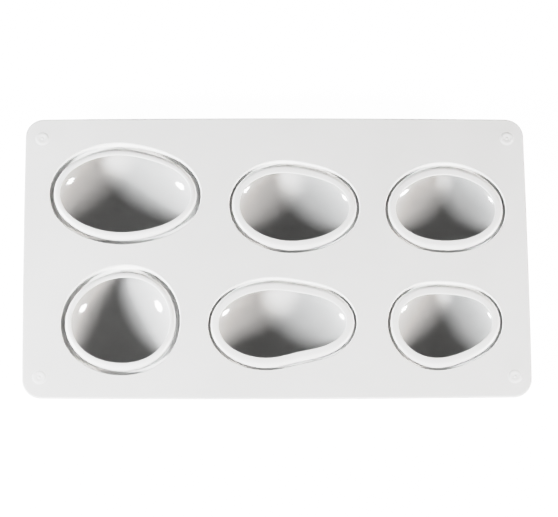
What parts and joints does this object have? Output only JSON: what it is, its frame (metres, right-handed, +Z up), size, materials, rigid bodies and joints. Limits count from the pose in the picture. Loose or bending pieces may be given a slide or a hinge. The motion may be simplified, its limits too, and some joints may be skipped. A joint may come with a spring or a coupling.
{
  "type": "silicone soap mould",
  "caption": "Thin rectangular silicone sheet with rounded corners and hanging pebble-shaped cavities, each in a flexible groove, standing on corner feet.",
  "frame": {"origin": "on the table, below the middle of the sheet", "axes": "+X along the sheet's long side, +Y to the back row of cavities, +Z up out of the mouths"},
  "size_m": [0.301, 0.1768, 0.0248],
  "materials": {
    "silicone_satin": "satin white silicone",
    "silicone_gloss": "polished white silicone"
  },
  "bodies": {
    "sheet": {"sheet": "silicone_satin", "foot_front_left": "silicone_satin", "foot_front_right": "silicone_satin", "foot_back_left": "silicone_satin", "foot_back_right": "silicone_satin", "web_back_left": "silicone_satin", "web_back_middle": "silicone_satin", "web_back_right": "silicone_satin", "web_front_left": "silicone_satin", "web_front_middle": "silicone_satin", "web_front_right": "silicone_satin"},
    "pocket_back_left": {"cup_back_left": "silicone_gloss", "lip_back_left": "silicone_satin"},
    "pocket_back_middle": {"cup_back_middle": "silicone_gloss", "lip_back_middle": "silicone_satin"},
    "pocket_back_right": {"cup_back_right": "silicone_gloss", "lip_back_right": "silicone_satin"},
    "pocket_front_left": {"cup_front_left": "silicone_gloss", "lip_front_left": "silicone_satin"},
    "pocket_front_middle": {"cup_front_middle": "silicone_gloss", "lip_front_middle": "silicone_satin"},
    "pocket_front_right": {"cup_front_right": "silicone_gloss", "lip_front_right": "silicone_satin"}
  },
  "joints": [
    {"name": "push_back_left", "type": "slide", "parent": "sheet", "child": "pocket_back_left", "axis": [0, 0, 1], "range_m": [0, 0.0035], "stiffness_N_per_m": 400, "deforming": ["web_back_left"]},
    {"name": "push_back_middle", "type": "slide", "parent": "sheet", "child": "pocket_back_middle", "axis": [0, 0, 1], "range_m": [0, 0.0025], "stiffness_N_per_m": 400, "deforming": ["web_back_middle"]},
    {"name": "push_back_right", "type": "slide", "parent": "sheet", "child": "pocket_back_right", "axis": [0, 0, 1], "range_m": [0, 0.0025], "stiffness_N_per_m": 400, "deforming": ["web_back_right"]},
    {"name": "push_front_left", "type": "slide", "parent": "sheet", "child": "pocket_front_left", "axis": [0, 0, 1], "range_m": [0, 0.0035], "stiffness_N_per_m": 400, "deforming": ["web_front_left"]},
    {"name": "push_front_middle", "type": "slide", "parent": "sheet", "child": "pocket_front_middle", "axis": [0, 0, 1], "range_m": [0, 0.0025], "stiffness_N_per_m": 400, "deforming": ["web_front_middle"]},
    {"name": "push_front_right", "type": "slide", "parent": "sheet", "child": "pocket_front_right", "axis": [0, 0, 1], "range_m": [0, 0.0025], "stiffness_N_per_m": 400, "deforming": ["web_front_right"]}
  ]
}
